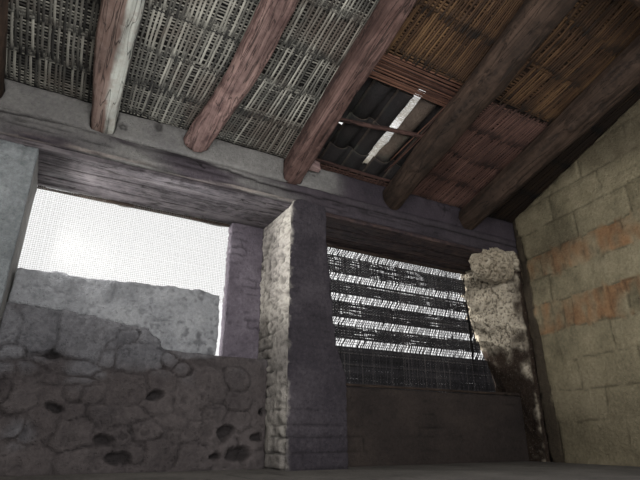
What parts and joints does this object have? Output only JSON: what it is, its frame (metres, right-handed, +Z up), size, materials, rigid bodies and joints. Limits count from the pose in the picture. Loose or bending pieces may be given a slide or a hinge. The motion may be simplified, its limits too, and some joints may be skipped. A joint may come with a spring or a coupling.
{
  "type": "adobe window wall with pole and cane roof",
  "caption": "Adobe and rubble window wall between two end walls, with a mesh-screened window, a woven cane blind, log rafters, cane mats and clay tiles.",
  "frame": {"origin": "on the ground, under the centre of the bounding box", "axes": "+X along the window wall to the right as seen from the room, +Y out of the room through the window wall, +Z up"},
  "size_m": [5.667, 3.4374, 3.3188],
  "materials": {
    "floor_earth": "dusty screed",
    "end_adobe": "earth plaster over adobe courses",
    "pier_adobe": "worn mud plaster with straw",
    "jamb_adobe": "rough lump earth",
    "rubble": "field stones in earth mortar",
    "lime_render": "rough pale render",
    "head_earth": "stained mud",
    "pole_wood": "weathered peeled poles",
    "brown_log": "dark reddish brown log",
    "grey_log": "weathered grey log",
    "split_cane": "woven split cane",
    "roof_tile": "weathered clay",
    "wire": "galvanised wire"
  },
  "bodies": {
    "root": {"floor_screed": "floor_earth", "left_end_wall": "end_adobe", "right_end_wall": "end_adobe", "left_pier": "pier_adobe", "centre_pier": "pier_adobe", "brick_nib": "pier_adobe", "right_jamb": "jamb_adobe", "rubble_wall": "rubble", "rendered_sill_wall": "lime_render", "low_wall": "pier_adobe", "sill_pole": "pole_wood", "lintels_left": "pole_wood", "lintels_right": "pole_wood", "wall_head": "head_earth", "rafter_fill": "head_earth", "rafter_1": "brown_log", "rafter_2": "grey_log", "rafter_3": "grey_log", "rafter_4": "brown_log", "rafter_5": "brown_log", "rafter_6": "brown_log", "ridge_beam": "brown_log", "cane_mat_1": "split_cane", "cane_mat_2": "split_cane", "cane_mat_3": "split_cane", "cane_mat_4": "split_cane", "cane_mat_5_upper": "split_cane", "cane_mat_5_lower": "split_cane", "cane_mat_6": "split_cane", "cane_mat_7": "split_cane", "cross_canes": "split_cane", "round_batten": "pole_wood", "flat_batten": "pole_wood", "tile_channels": "roof_tile", "tile_covers": "roof_tile", "mesh_screen": "wire", "nail_strip": "pole_wood", "cane_blind": "split_cane", "blind_rail": "pole_wood"}
  },
  "joints": []
}
